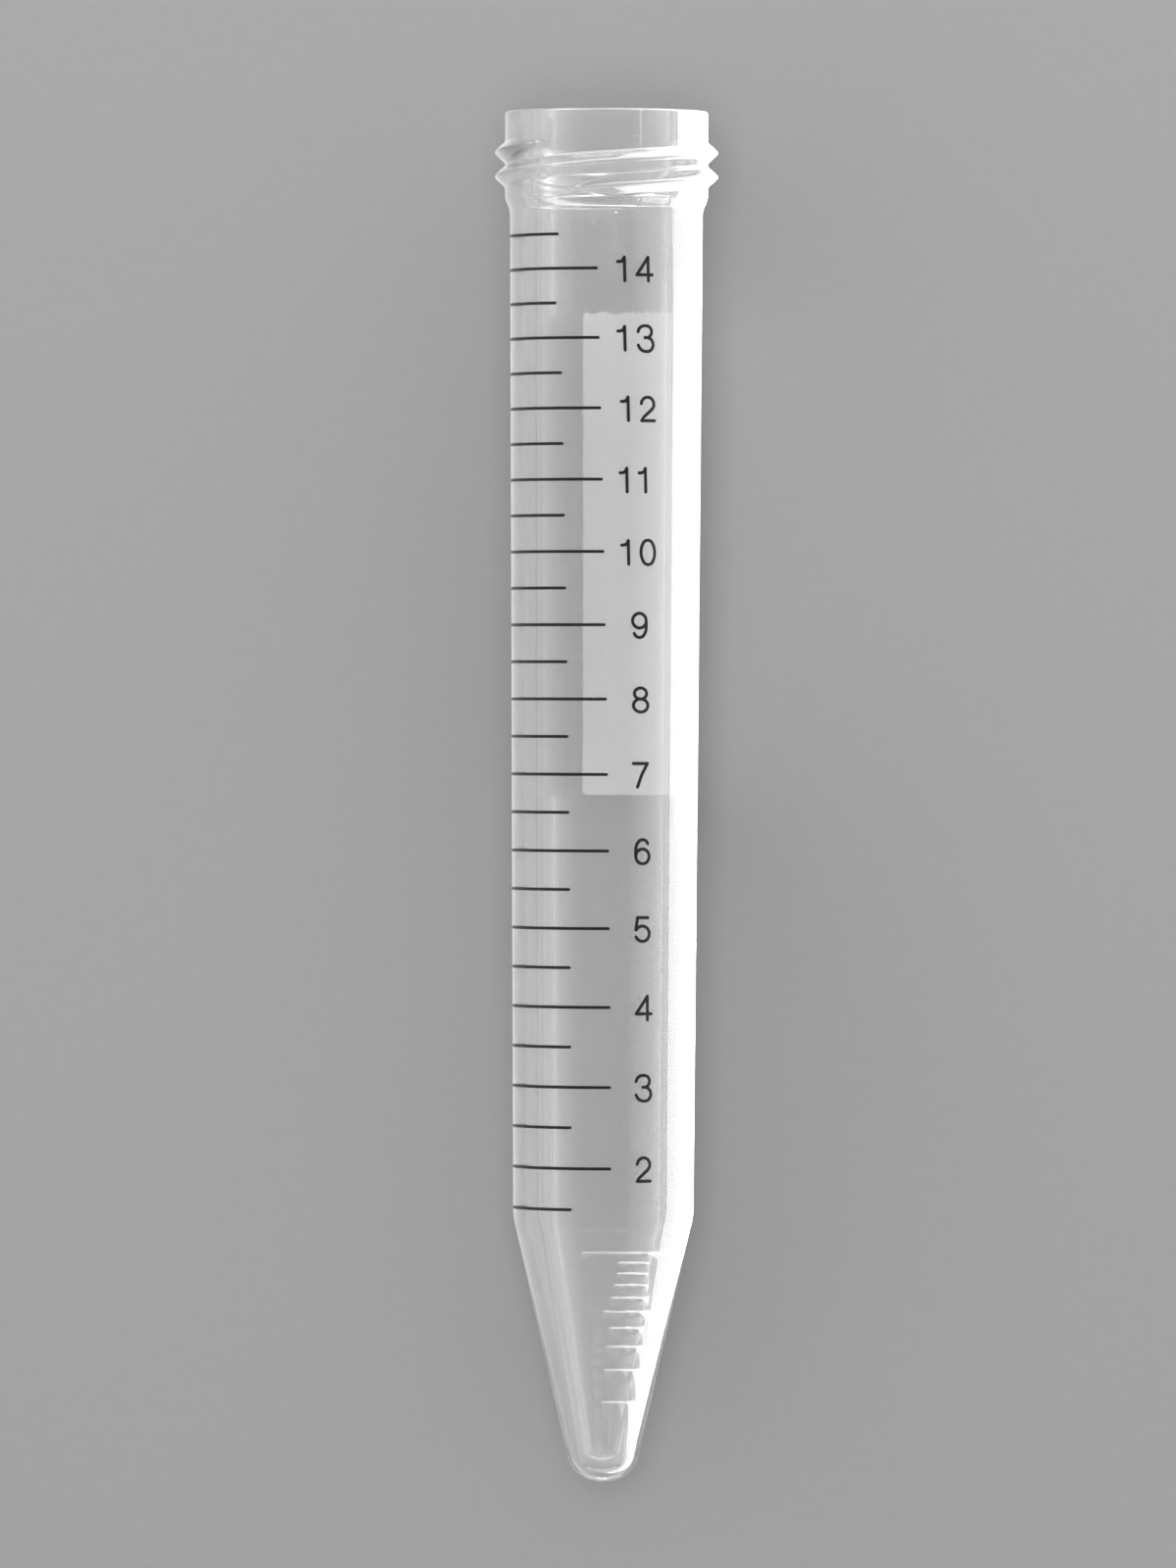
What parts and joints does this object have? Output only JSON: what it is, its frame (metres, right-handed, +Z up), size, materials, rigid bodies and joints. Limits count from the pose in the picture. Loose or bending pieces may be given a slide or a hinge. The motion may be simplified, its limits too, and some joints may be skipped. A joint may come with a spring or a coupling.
{
  "type": "conical tube",
  "caption": "Clear plastic conical tube for holding and spinning liquids, with a rounded tip, a printed volume scale, a writing patch and a threaded neck for a screw cap.",
  "frame": {"origin": "middle of the footprint on the surface that the lying tube rests on", "axes": "+Y from the tip towards the mouth, level; +Z up, where the scale faces, turned 3 degrees towards +X; +X to the scale's right"},
  "size_m": [0.0194, 0.1192, 0.0194],
  "materials": {
    "clear_plastic": "polished",
    "black_ink": "matte",
    "white_ink": "matte"
  },
  "bodies": {
    "root": {"tube": "clear_plastic", "scale_lines": "black_ink", "writing_patch": "white_ink"}
  },
  "joints": []
}
